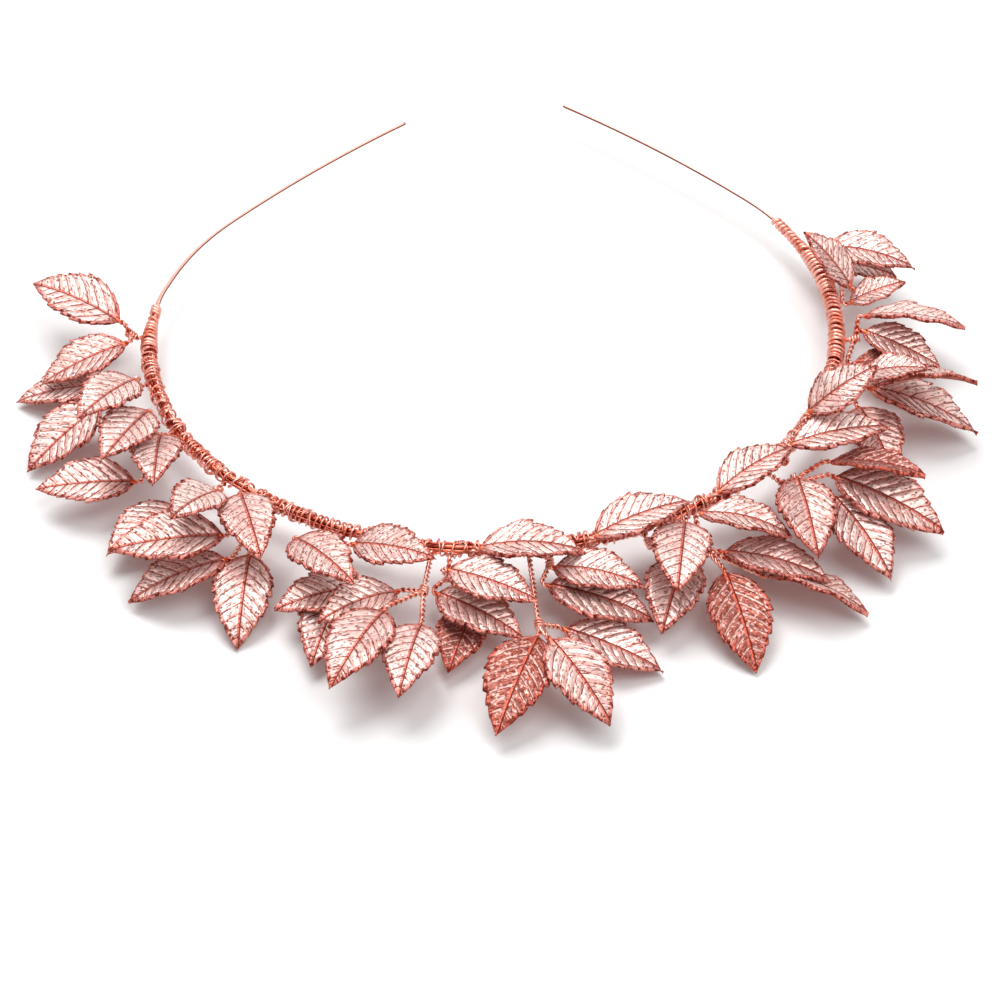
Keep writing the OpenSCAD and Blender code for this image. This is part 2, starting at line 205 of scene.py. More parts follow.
class WireSettings(PropertyGroup):
    """Stems, stalks and windings."""

    strand: length("Strand", "Thickness of one strand of a twisted stem", 0.58)
    lay: length("Lay", "Length of stem in which its strands twist once round", 2.3)
    stalk_run: length("Stalk Run", "Straight run of a stalk into its leaf", 1.4)
    bend_radius: length("Bend Radius", "Radius of the bends of a stem", 0.9)
    collar: length("Collar", "Size of the lump of metal at a leaf's base", 1.5)
    root_out: length("Root", "Distance out from the band where a stem starts", 0.9)
    elbow_out: length("Elbow", "Distance out from the band where a stem clears the windings", 3.1)
    own_stem_out: length("Own Stem", "A leaf that starts nearer to the band has its own stem", 3.2)
    binding: length("Binding Wire", "Thickness of the open binding's wire", 0.42)
    wrap_wire: length("Wrap Wire", "Thickness of the end wraps' wire", 0.85)
    bundle_out: length("Bundle Out", "Middle of the bound bundle, out from the band", 0.35)
    bundle_up: length("Bundle Up", "Middle of the bound bundle, above the band", 0.3)
    wrap_radius: length("Wrap Radius", "Radius of the end wraps round the full bundle", 1.36)
    strip_radius: length("Strip Radius", "Radius of the turns round the bare strip", 0.74)
    open_radius: length("Open Radius", "Radius of the open binding's turns", 1.42)
    left_sleeve: length("Left Sleeve", "Length of the left wrap that is round the bare strip", 4)
    right_sleeve: length("Right Sleeve", "Length of the right wrap that is round the bare strip", 8)
    taper: length("Taper", "Length in which a wrap grows to the full bundle", 8)
    wrap_pitch: length("Wrap Pitch", "Length of band for each turn of an end wrap", 1.15)
    open_pitch: length("Open Pitch", "Length of band for each turn of the open binding", 2.7)
    close_pitch: length("Close Pitch", "Length of band for each turn where the binding is closer", 1.25)
    loose_pitch: length("Loose Pitch", "Length of band for each loose turn, wound the other way", 5.2)
    loose_radius: length("Loose Radius", "Radius of the loose turns", 1.6)
    loose_wire: length("Loose Wire", "Thickness of the loose turns' wire", 0.38)
    tail_wire: length("Tail Wire", "Thickness of the bound wire tails", 0.5)
    tail_pitch: length("Tail Pitch", "Length of band in which the bound wire tails go once round", 60)
    tail_radius: length("Tail Radius", "Distance of the wire tails from the bundle's middle", 1.05)
    vine: length("Vine Wire", "Thickness of the vine wires", 0.8)
    vine_radius: length("Vine Radius", "Distance of the vine wires from the band's middle line", 0.83)
    vine_apart: angle("Vine Apart", "Half of the angle between the two vine wires", 29.5)
    left_wrap: length("Left Wrap", "Length of the left end wrap", 14)
    right_wrap: length("Right Wrap", "Length of the right end wrap", 44)
    knot_pitch: length("Knot Pitch", "Length of stem for each turn of a knot", 0.62)
    knot_radius: length("Knot Radius", "Radius of the turns of a knot", 0.72)
    knot_length: length("Knot Length", "Length of stem that a knot covers", 2.0)


class FinishSettings(PropertyGroup):
    """Colours of the rose gold plate, and of the painted shade and highlights laid on it."""

    leaf_pale: colour("Leaf Pale", "Plate on the raised leaf panels", (0.97, 0.77, 0.72))
    # Leaf Blush is also laid as painted highlights on the ridges of the dark leaves
    leaf_blush: colour("Leaf Blush", "Plate in the duller patches of a leaf", (0.91, 0.57, 0.51))
    # Leaf Deep: a random deeper tone on some leaves, and painted shade on the leaves listed as shaded
    leaf_deep_and_shade: colour("Leaf Deep", "Plate of the most coloured leaves", (0.30, 0.04, 0.015))
    # Leaf Vein: coral red painted as shade in the vein grooves and on the rim, also laid on the midrib and
    # the base
    leaf_red_and_shade: colour("Leaf Vein", "Plate in the veins and on the rim", (0.60, 0.115, 0.075))
    # Leaf Line: dark painted shadow beside the veins and the rib, also used for the dark dots, dashes and
    # gaps in the rim
    leaf_shadow_and_marks: colour("Leaf Line", "Dark plate beside the veins and in pits", (0.15, 0.012, 0.004))
    # Leaf Underside: deep red painted as shade on the undersides
    leaf_under_shade: colour("Leaf Underside", "Plate on the underside of a leaf", (0.45, 0.08, 0.045))
    wire_bright: colour("Wire Bright", "Plate on the wires", (0.92, 0.46, 0.38))
    wire_deep: colour("Wire Deep", "Plate in the duller patches of the wires", (0.60, 0.14, 0.08))
    solder: colour("Solder", "Orange plate where a stalk is joined to its leaf", (0.74, 0.13, 0.05))
    # Bound colours: the wire plate darkened as painted shade where the binding covers the wires
    shaded_bound_bright: colour("Bound Bright", "Plate on the wires under the binding", (0.70, 0.20, 0.13))
    shaded_bound_deep: colour("Bound Deep", "Duller patches of the wires under the binding", (0.34, 0.05, 0.025))
    strip_bright: colour("Strip Bright", "Plate on the bare strip", (0.82, 0.43, 0.36))
    # Strip Edge: dark painted shade on the strip's edge towards the head
    strip_edge_shade: colour("Strip Edge", "Plate on the strip's edge towards the head", (0.22, 0.07, 0.055))


class StageSettings(PropertyGroup):
    """Camera, floor and light."""

    distance: length("Distance", "Distance of the camera from the origin", 600)
    elevation: angle("Elevation", "Height of the camera above the table", 45)
    azimuth: angle("Azimuth", "Turn of the camera round the headband", -3.5)
    lens: FloatProperty(name="Lens", description="Focal length on a 36 mm sensor", default=108.54)
    aim_forward: length("Aim", "Point that the camera looks at, in front of the origin", -37.2)
    aim_side: length("Aim Side", "Shift of the camera and its aim to the right", 0.3)
    floor_drop: length("Floor Drop", "Room left for the leaf margins under the lowest solid", 0.5)
    floor_colour: colour("Floor", "Colour of the floor and the background", (0.97, 0.97, 0.97))


class HeadbandSettings(PropertyGroup):
    """All the headband's settings."""

    band: PointerProperty(type=BandSettings)
    leaf: PointerProperty(type=LeafSettings)
    wire: PointerProperty(type=WireSettings)
    finish: PointerProperty(type=FinishSettings)
    stage: PointerProperty(type=StageSettings)


def settings():
    """The headband's settings in the open scene."""
    return bpy.context.scene.headband


# Band path


class BandPath:
    """Three tangent arcs a side, followed by the distance along the band from the middle of the front."""

    def __init__(self, band):
        self.band = band
        self.front_run = band.front_radius * band.front_turn
        self.side_run = self.front_run + band.side_radius * band.side_turn

    def heading(self, station):
        """Angle that the band has turned through at a station, in radians."""
        band = self.band
        run = abs(station)
        turned = min(run, self.front_run) / band.front_radius
        turned += min(max(run - self.front_run, 0), self.side_run - self.front_run) / band.side_radius
        turned += max(run - self.side_run, 0) / band.arm_radius
        return math.copysign(turned, station)

    def outward(self, station):
        """Direction away from the head at a station."""
        heading = self.heading(station)
        return Vector((math.sin(heading), -math.cos(heading), 0))

    def point(self, station):
        """Point of the band's middle line."""
        band = self.band
        side = math.copysign(1, station)
        centre = Vector((0, band.front_radius - band.front_reach, 0))
        radius = band.front_radius
        if abs(station) > self.front_run:
            centre += (radius - band.side_radius) * self.outward(side * self.front_run)
            radius = band.side_radius
        if abs(station) > self.side_run:
            centre += (radius - band.arm_radius) * self.outward(side * self.side_run)
            radius = band.arm_radius
        return centre + radius * self.outward(station)

    def place(self, station, out, up):
        """Point beside the band."""
        return self.point(station) + out * self.outward(station) + up * UP

    def nearest(self, point):
        """Station nearest to a point, and the point's distance out from the band there."""
        samples = 977
        stations = np.linspace(self.band.left_mouth, self.band.right_mouth, samples)
        flat = [(self.point(s) - point).xy.length for s in stations]
        station = float(stations[int(np.argmin(flat))])
        return station, (point - self.point(station)).dot(self.outward(station))


# Node trees and meshes


class NodeTree:
    """A node tree, built node by node."""

    def __init__(self, tree):
        self.tree = tree
        self.nodes = tree.nodes

    def node(self, kind, sockets=(), **options):
        """Adds a node, sets its options, then its sockets from values or from other nodes' outputs."""
        made = self.nodes.new(kind)
        for option, value in options.items():
            setattr(made, option, value)
        for key, value in dict(sockets).items():
            self.set(made.inputs[key], value)
        return made

    def out(self, kind, sockets=(), **options):
        """Adds a node and returns its first output."""
        return self.node(kind, sockets, **options).outputs[0]

    def set(self, socket, value):
        """Sets a socket to a value or links it to an output."""
        if isinstance(value, NodeSocket):
            self.tree.links.new(value, socket)
        else:
            socket.default_value = value

    def math(self, operation, first, second=0.0, third=0.0):
        """A Math node's result."""
        return self.out("ShaderNodeMath", {0: first, 1: second, 2: third}, operation=operation)

    def times(self, first, second):
        """Two numbers multiplied."""
        return self.math("MULTIPLY", first, second)

    def most(self, first, *others):
        """The largest of some numbers."""
        for other in others:
            first = self.math("MAXIMUM", first, other)
        return first


class GeometryTree(NodeTree):
    """A Geometry Nodes tree with named inputs for its sizes, other inputs and its material."""

    def __init__(self, name, *sizes, **others):
        super().__init__(bpy.data.node_groups.new(name, "GeometryNodeTree"))
        self.tree.is_modifier = True
        kinds = {"Geometry": "Geometry", **dict.fromkeys(sizes, "Float"), **others, "Material": "Material"}
        face = self.tree.interface
        for label, kind in kinds.items():
            face.new_socket(label, in_out="INPUT", socket_type=f"NodeSocket{kind}")
        face.new_socket("Geometry", in_out="OUTPUT", socket_type="NodeSocketGeometry")
        self.given = self.nodes.new("NodeGroupInput").outputs
        self.end = self.nodes.new("NodeGroupOutput")

    def vector(self, operation, first, second):
        """A Vector Math node's result, or a vector scaled by a number."""
        key = "Scale" if operation == "SCALE" else 1
        return self.out("ShaderNodeVectorMath", {0: first, key: second}, operation=operation)

    def attribute(self, name, kind="FLOAT"):
        """A named attribute of the geometry."""
        made = self.node("GeometryNodeInputNamedAttribute", {"Name": name}, data_type=kind)
        return made.outputs["Attribute"]

    def turn(self):
        """The turn that each point carries."""
        return self.out("FunctionNodeEulerToRotation", {0: self.attribute("turn", "FLOAT_VECTOR")})

    def line(self):
        """The given points and edges as curves."""
        return self.out("GeometryNodeMeshToCurve", {"Mesh": self.given["Geometry"]})

    def even(self, curve, step):
        """A curve with points at even steps."""
        return self.out("GeometryNodeResampleCurve", {"Curve": curve, "Length": step}, mode="LENGTH")

    def circle(self, radius):
        """Round section of a wire."""
        return self.out("GeometryNodeCurvePrimitiveCircle", {"Resolution": 8, "Radius": radius})

    def swept(self, curve, section):
        """A closed solid swept along a curve."""
        sockets = {"Curve": curve, "Profile Curve": section, "Fill Caps": True}
        return self.out("GeometryNodeCurveToMesh", sockets)

    def join(self, *parts):
        """Geometries joined into one."""
        joined = self.node("GeometryNodeJoinGeometry")
        for part in parts:
            self.set(joined.inputs[0], part)
        return joined.outputs[0]

    def finish(self, geometry):
        """Ends the tree with real, smooth geometry in the given material."""
        real = self.out("GeometryNodeRealizeInstances", {"Geometry": geometry})
        smooth = self.out("GeometryNodeSetShadeSmooth", {"Geometry": real})
        sockets = {"Geometry": smooth, "Material": self.given["Material"]}
        self.set(self.end.inputs[0], self.out("GeometryNodeSetMaterial", sockets))
        return self

    def bake(self, name, mesh, values):
        """Runs the tree on a mesh with its inputs set, and returns the result as a plain mesh object."""
        source = new_object(name + "_source", mesh)
        modifier = source.modifiers.new("Shape", "NODES")
        modifier.node_group = self.tree
        for label, value in values.items():
            modifier[self.tree.interface.items_tree[label].identifier] = value
        evaluated = source.evaluated_get(bpy.context.evaluated_depsgraph_get())
        made = new_object(name, bpy.data.meshes.new_from_object(evaluated))
        bpy.data.objects.remove(source)
        if not made.data.polygons:
            raise RuntimeError(f"{name} came out empty")
        return made


def new_object(name, mesh):
    """An object at the origin that holds a mesh."""
    made = bpy.data.objects.new(name, mesh)
    bpy.context.scene.collection.objects.link(made)
    return made


def carry(mesh, label, values, kind="FLOAT"):
    """Gives each point of a mesh a number or a vector."""
    layer = mesh.attributes.new(label, kind, "POINT")
    key = "value" if kind == "FLOAT" else "vector"
    layer.data.foreach_set(key, np.array(values, np.float32).ravel())


def polyline(name, runs, **attributes):
    """A mesh of open runs of points, with values for each point."""
    points = [tuple(p) for run in runs for p in run]
    edges = []
    first = 0
    for run in runs:
        edges += [(first + i, first + i + 1) for i in range(len(run) - 1)]
        first += len(run)
    mesh = bpy.data.meshes.new(name)
    mesh.from_pydata(points, edges, [])
    for label, values in attributes.items():
        carry(mesh, label, values)
    return mesh


def ring_mesh(name, rings):
    """A closed mesh swept through rings of points, with its normals outward."""
    count, sides = rings.shape[:2]
    steps = np.arange(count * sides).reshape(count, sides)
    following = np.roll(steps, -1, axis=1)
    quads = np.stack([steps[:-1], following[:-1], following[1:], steps[1:]], -1).reshape(-1, 4)
    ends = [steps[0].tolist(), steps[-1].tolist()]
    mesh = bpy.data.meshes.new(name)
    mesh.from_pydata(rings.reshape(-1, 3).tolist(), [], quads.tolist() + ends)
    shell = bmesh.new()
    shell.from_mesh(mesh)
    bmesh.ops.recalc_face_normals(shell, faces=shell.faces)
    shell.to_mesh(mesh)
    shell.free()
    mesh.polygons.foreach_set("use_smooth", [True] * len(mesh.polygons))
    return mesh


def dress(piece, body, slot, *nodes):
    """Hangs a finished piece on its body in place of the solids that it stands for."""
    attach(piece, body)
    if nodes:
        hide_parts(*nodes)


# Leaves


class LeafPose:
    """Where a leaf's solid lies: its base, its axes along, across and up, and its length."""

    def __init__(self, points):
        middle = points.mean(0)
        long_axis = np.linalg.svd(points - middle, full_matrices=False)[2][0]
        run = (points - middle) @ long_axis
        near = 0.1 * MM
        ends = [points[run < run.min() + near], points[run > run.max() - near]]
        ends.sort(key=lambda end: np.ptp(end, axis=0).max(), reverse=True)
        base, tip = (end.mean(0) for end in ends)
        self.length = float(np.linalg.norm(tip - base))
        ahead = (tip - base) / self.length
        flat = points - middle
        flat = flat - np.outer(flat @ ahead, ahead)
        across = np.linalg.svd(flat, full_matrices=False)[2][0]
        across = across - ahead * (across @ ahead)
        across /= np.linalg.norm(across)
        lift = np.cross(ahead, across)
        if lift[2] < 0:
            across, lift = -across, -lift
        self.base = Vector(base)
        self.ahead = Vector(ahead)
        self.lift = Vector(lift)
        self.turn = Matrix(np.column_stack([ahead, across, lift]).tolist()).to_euler()


def leaf_poses(node):
    """The pose of each separate leaf in a node."""
    shell = bmesh.new()
    shell.from_mesh(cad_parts[node].data)
    bmesh.ops.remove_doubles(shell, verts=shell.verts, dist=0.001 * MM)
    waiting = set(shell.verts)
    poses = []
    while waiting:
        island = [waiting.pop()]
        for vert in island:
            for edge in vert.link_edges:
                other = edge.other_vert(vert)
                if other in waiting:
                    waiting.remove(other)
                    island.append(other)
        poses.append(LeafPose(np.array([v.co for v in island], float)))
    shell.free()
    return sorted(poses, key=lambda pose: tuple(pose.base))


def leaf_outline(u):
    """Half width of a leaf along its length, 1 at its widest."""
    base_fullness, tip_fullness = 0.75, 1.1
    widest = base_fullness / (base_fullness + tip_fullness)
    peak = widest**base_fullness * (1 - widest) ** tip_fullness
    return u**base_fullness * (1 - u) ** tip_fullness / peak


def leaf_blade(leaf):
    """A leaf of size 1 along +X with toothed margins, a midrib, quilted panels and a rolled, beaded rim."""
    stations, columns, gather = 121, 57, 1.3
    tooth_shift, tooth_uneven, tooth_hook = 0.1, 0.5, 0.35 * MM
    soft_fold, rib_width, rib_clear = 0.4 * MM, 0.24 * MM, 0.9 * MM
    beads_per_tooth, bead_slip, pores = 2.4, 4, 0.04 * MM
    tip_run, tip_thin = 0.08, 0.25
    tooth_root, panel_fullness, rib_fade, bead_share = 4, 0.6, 0.6, 0.3
    under_panel, under_relief, edge_round = 0.5, 0.8, 0.7
    rng = np.random.default_rng(leaf.seed)
    spread = np.linspace(-1, 1, columns)
    spread = np.sign(spread) * (1 - (1 - np.abs(spread)) ** gather)
    u, v = np.meshgrid(np.linspace(0, 1, stations), spread, indexing="ij")
    share = np.abs(v)
    tapered = np.sin(np.pi * u)
    plain = leaf.blade_width / 2 * leaf_outline(u)
    count = leaf.teeth * u + tooth_shift
    tooth = count % 1.0
    uneven = 1 + tooth_uneven * rng.uniform(-1, 1, leaf.teeth + 2)[count.astype(int)]
    cut = 1 - leaf.tooth_depth * uneven * (1 - tooth) * share**tooth_root * tapered**0.3
    half = np.maximum(plain * cut, np.where(u < 0.5, leaf.neck, leaf.tip))
    y = half * v
    reach = np.abs(y)
    inside = half - reach
    x = leaf.blade_length * u + tooth_hook * tooth * share**6 * tapered
    curl = leaf.vein_curl * (2 * reach / leaf.blade_width) ** 2
    vein = leaf.veins * (u - (leaf.vein_lean * reach + curl) / leaf.blade_length)
    crease = np.sqrt(reach**2 + soft_fold**2) - soft_fold
    middle = 4 * leaf.arch * u * (1 - u) + crease * math.tan(leaf.fold)
    inner = np.clip((inside - leaf.roll / 2) / leaf.roll, 0, 1) * np.clip(reach / rib_clear, 0, 1)
    panel = leaf.quilt * np.abs(np.sin(np.pi * vein)) ** panel_fullness * inner
    rib = leaf.midrib * (1 - rib_fade * u) * np.exp(-((reach / rib_width) ** 2))
    slip = bead_slip * rng.random(stations)[:, None]
    beads = 0.7 + bead_share * np.cos(2 * np.pi * beads_per_tooth * leaf.teeth * u + slip)
    round_rim = np.sqrt(np.clip(1 - (2 * inside / leaf.roll - 1) ** 2, 0, 1))
    rim = leaf.bead * beads * round_rim * np.clip(3 * tapered, 0, 1)
    grain = pores * (rng.random(u.shape) - 0.5) * inner
    half_thick = leaf.thickness / 2 * np.clip((1 - u) / tip_run, tip_thin, 1)
    top = middle + half_thick + panel + rib + rim + grain
    under = middle - half_thick + under_panel * panel - under_relief * rib - under_relief * rim
    edge_out = edge_round * half_thick[:, 0]
    left = np.stack([x[:, 0], y[:, 0] - edge_out, middle[:, 0]], -1)[:, None]
    right = np.stack([x[:, -1], y[:, -1] + edge_out, middle[:, -1]], -1)[:, None]
    upper = np.stack([x, y, top], -1)
    lower = np.stack([x, y, under], -1)[:, ::-2]
    mesh = ring_mesh("leaf_blade", np.concatenate([upper, right, lower, left], 1))

    def around(upper_side, right_edge, lower_side, left_edge):
        edges = [np.broadcast_to(edge, (stations, 1)) for edge in (right_edge, left_edge)]
        return np.concatenate([upper_side, edges[0], lower_side[:, ::-2], edges[1]], 1)

    carry(mesh, "leaf_u", around(u, u[:, :1], u, u[:, :1]))
    carry(mesh, "leaf_v", around(v, 1.0, v, -1.0))
    carry(mesh, "vein", around(vein, vein[:, -1:], vein, vein[:, :1]))
    carry(mesh, "offset", around(y, y[:, -1:], y, y[:, :1]) / MM)
    carry(mesh, "margin", around(inside / MM, 0.0, inside / MM, 0.0))
    carry(mesh, "underside", around(np.zeros_like(u), 0.5, np.ones_like(u), 0.5))
    return mesh


def leaf_tree():
    """Sets a leaf on each point, turned and scaled to it, then bends it as by hand."""
    ripples = 17.0
    tree = GeometryTree("Leaves On Stalks", "Ripple", Leaf="Object")
    leaf = tree.node("GeometryNodeObjectInfo", {"Object": tree.given["Leaf"]}).outputs["Geometry"]
    sockets = {
        "Points": tree.given["Geometry"],
        "Instance": leaf,
        "Rotation": tree.turn(),
        "Scale": tree.attribute("size"),
    }
    placed = tree.out("GeometryNodeInstanceOnPoints", sockets)
    real = tree.out("GeometryNodeRealizeInstances", {"Geometry": placed})
    u = tree.attribute("leaf_u")
    v = tree.attribute("leaf_v")
    hump = tree.times(tree.times(u, tree.math("SUBTRACT", 1.0, u)), 4.0)
    bent = tree.times(tree.attribute("bend"), hump)
    twisted = tree.times(tree.attribute("twist"), tree.times(u, v))
    wave = tree.math("SINE", tree.math("MULTIPLY_ADD", u, ripples, tree.attribute("phase")))
    edge = tree.times(tree.times(v, v), hump)
    rippled = tree.times(tree.given["Ripple"], tree.times(wave, edge))
    rise = tree.math("ADD", bent, tree.math("ADD", twisted, rippled))
    offset = tree.vector("SCALE", tree.attribute("lift", "FLOAT_VECTOR"), rise)
    return tree.finish(tree.out("GeometryNodeSetPosition", {"Geometry": real, "Offset": offset}))


class HEADBAND_OT_leaves(Operator):
    """Put an embossed leaf on every stalk"""

    bl_idname = "headband.leaves"
    bl_label = "Embossed Leaves"

    def execute(self, context):
        leaf = settings().leaf
        rng = np.random.default_rng(leaf.seed)
        blade = new_object("leaf_blade", leaf_blade(leaf))
        tree = leaf_tree()
        metal = leaf_metal()
        for node in LEAF_NODES:
            poses = leaf_poses(node)
            count = len(poses)
            # Random tone for some leaves, and full painted shade on the listed leaves
            tone = 0.4 * rng.uniform(0, 1, count) ** 2
            if node in SHADED_LEAVES:
                tone[SHADED_LEAVES[node]] = 1.0
            points = polyline(
                node + "_points",
                [[pose.base] for pose in poses],
                size=[pose.length / leaf.blade_length for pose in poses],
                bend=rng.uniform(-0.4, 1, count) * leaf.bend,
                twist=rng.uniform(-1, 1, count) * leaf.twist,
                phase=rng.uniform(0, 2 * math.pi, count),
                tone=tone,
            )
            carry(points, "turn", [pose.turn for pose in poses], "FLOAT_VECTOR")
            carry(points, "lift", [pose.lift for pose in poses], "FLOAT_VECTOR")
            values = {"Leaf": blade, "Ripple": leaf.ripple, "Material": metal}
            piece = tree.bake(node.replace("leaves", "embossed_leaves"), points, values)
            dress(piece, "crown", "leaf_metal", node)
        bpy.data.objects.remove(blade)
        return {"FINISHED"}


# Stems


def stem_runs(path, wire, knot_mm, poses):
    """Lines of a sprig's wires: its stem, a stalk from the knot to each leaf, and own stems near the band."""
    station, out, up = (value * MM for value in knot_mm)
    knot = path.place(station, out, up)
    runs = [[path.place(station, wire.root_out, 0), path.place(station, wire.elbow_out, 0), knot]]
    for pose in poses:
        bend = pose.base - wire.stalk_run * pose.ahead
        into = pose.base + wire.collar / 3 * pose.ahead
        at, beside = path.nearest(pose.base)
        if beside < wire.own_stem_out:
            at = path.nearest(bend)[0]
            elbow = path.place(at, wire.elbow_out, 0)
            runs.append([path.place(at, wire.root_out, 0), elbow, elbow + 2 * wire.strand * UP, bend, into])
        else:
            runs.append([knot, bend, into])
    return runs


def stem_tree():
    """Sweeps two twisted strands along each line and puts a collar at each leaf."""
    steps_per_lay, strands_apart, collar_shape = 14.0, 0.95, (1.0, 0.85, 0.8)
    tree = GeometryTree("Twisted Stems", "Strand", "Lay", "Bend", "Collar")
    lay = tree.given["Lay"]
    sockets = {"Curve": tree.line(), "Radius": tree.given["Bend"], "Limit Radius": True, "Count": 6}
    rounded = tree.out("GeometryNodeFilletCurve", sockets, mode="POLY")
    even = tree.even(rounded, tree.math("DIVIDE", lay, steps_per_lay))
    run = tree.node("GeometryNodeSplineParameter").outputs["Length"]
    tilt = tree.times(tree.math("DIVIDE", run, lay), 2 * math.pi)
    turned = tree.out("GeometryNodeSetCurveTilt", {"Curve": even, "Tilt": tilt})
    radius = tree.times(tree.given["Strand"], 0.5)
    circle = tree.circle(radius)
    strands = []
    for side in (strands_apart, -strands_apart):
        offset = tree.out("ShaderNodeCombineXYZ", {"X": tree.times(radius, side)})
        strands.append(tree.out("GeometryNodeTransform", {"Geometry": circle, "Translation": offset}))
    swept = tree.swept(turned, tree.join(*strands))
    ball = tree.out("GeometryNodeMeshIcoSphere", {"Radius": 0.5, "Subdivisions": 3})
    sockets = {
        "Points": tree.given["Geometry"],
        "Selection": tree.math("GREATER_THAN", tree.attribute("leaf_end"), 0.5),
        "Instance": tree.out("GeometryNodeTransform", {"Geometry": ball, "Scale": collar_shape}),
        "Rotation": tree.turn(),
        "Scale": tree.given["Collar"],
    }
    return tree.finish(tree.join(swept, tree.out("GeometryNodeInstanceOnPoints", sockets)))


class HEADBAND_OT_stems(Operator):
    """Twist a pair of wires along every stem and stalk"""

    bl_idname = "headband.stems"
    bl_label = "Twisted Stems"

    def execute(self, context):
        wire = settings().wire
        path = BandPath(settings().band)
        tree = stem_tree()
        metal = plated("stem_wire")
        for node, leaves, knot in zip(STEM_NODES, LEAF_NODES, KNOTS, strict=True):
            poses = leaf_poses(leaves)
            runs = stem_runs(path, wire, knot, poses)
            ends = []
            turns = []
            for run, pose in zip(runs, [None, *poses], strict=True):
                ends += [0.0] * (len(run) - 1) + [0.0 if pose is None else 1.0]
                turns += [(0, 0, 0) if pose is None else tuple(pose.turn)] * len(run)
            lines = polyline(node + "_lines", runs, leaf_end=ends)
            carry(lines, "turn", turns, "FLOAT_VECTOR")
            sizes = {"Strand": wire.strand, "Lay": wire.lay, "Bend": wire.bend_radius, "Collar": wire.collar}
            piece = tree.bake(node.replace("stem", "twisted_stem"), lines, {**sizes, "Material": metal})
            dress(piece, "crown", "stem_wire", node)
        return {"FINISHED"}


# Windings


def winding_tree():
    """Winds a wire round each line, with a hand's unevenness."""
    drift_scale = 260.0
    sizes = ("Step", "Wire", "Small Radius", "Full Radius", "Out", "Up", "Wander", "Loose", "Seed")
    tree = GeometryTree("Wound Wire", *sizes)
    given = tree.given
    even = tree.even(tree.line(), given["Step"])
    fullness = tree.attribute("fullness")
    along = tree.math("MULTIPLY_ADD", tree.attribute("station"), drift_scale, given["Seed"])
    sockets = {"W": along, "Scale": 1.0, "Detail": 2.0}
    drift = tree.out("ShaderNodeTexNoise", sockets, noise_dimensions="1D")
    uneven = tree.math("SUBTRACT", drift, 0.5)
    turns = tree.math("MULTIPLY_ADD", uneven, given["Wander"], tree.attribute("turns"))
    angle_round = tree.times(turns, 2 * math.pi)
    sockets = {"Factor": fullness, "A": given["Small Radius"], "B": given["Full Radius"]}
    radius = tree.node("ShaderNodeMix", sockets).outputs["Result"]
    loose = tree.times(radius, tree.math("MULTIPLY_ADD", uneven, given["Loose"], 1.0))
    out, lift = (
        tree.math("MULTIPLY_ADD", given[label], fullness, tree.times(loose, tree.math(wave, angle_round)))
        for label, wave in (("Out", "COSINE"), ("Up", "SINE"))
    )
    ahead = tree.out("GeometryNodeInputTangent")
    side = tree.vector("NORMALIZE", tree.vector("CROSS_PRODUCT", ahead, (0, 0, 1)), (0, 0, 0))
    over = tree.vector("CROSS_PRODUCT", side, ahead)
    offset = tree.vector("ADD", tree.vector("SCALE", side, out), tree.vector("SCALE", over, lift))
    wound = tree.out("GeometryNodeSetPosition", {"Geometry": even, "Offset": offset})
    return tree.finish(tree.swept(wound, tree.circle(tree.times(given["Wire"], 0.5))))


def wound_line(name, path, wire, start, end, pitches, first_turn=0.0):
    """A line along the band that carries how many turns are wound up to each point."""
    band = path.band
    samples = 900
    stations = np.linspace(start, end, samples)
    pitch = np.broadcast_to(pitches(stations) if callable(pitches) else pitches, stations.shape)
    turns = first_turn + np.cumsum((end - start) / samples / pitch)
    from_left = stations - band.left_mouth - wire.left_sleeve
    from_right = band.right_mouth - wire.right_sleeve - stations
    fullness = np.minimum(from_left, from_right) / wire.taper
    return polyline(
        name,
        [[path.point(s) for s in stations]],
        station=stations,
        turns=turns,
        fullness=np.clip(fullness, 0, 1),
    )


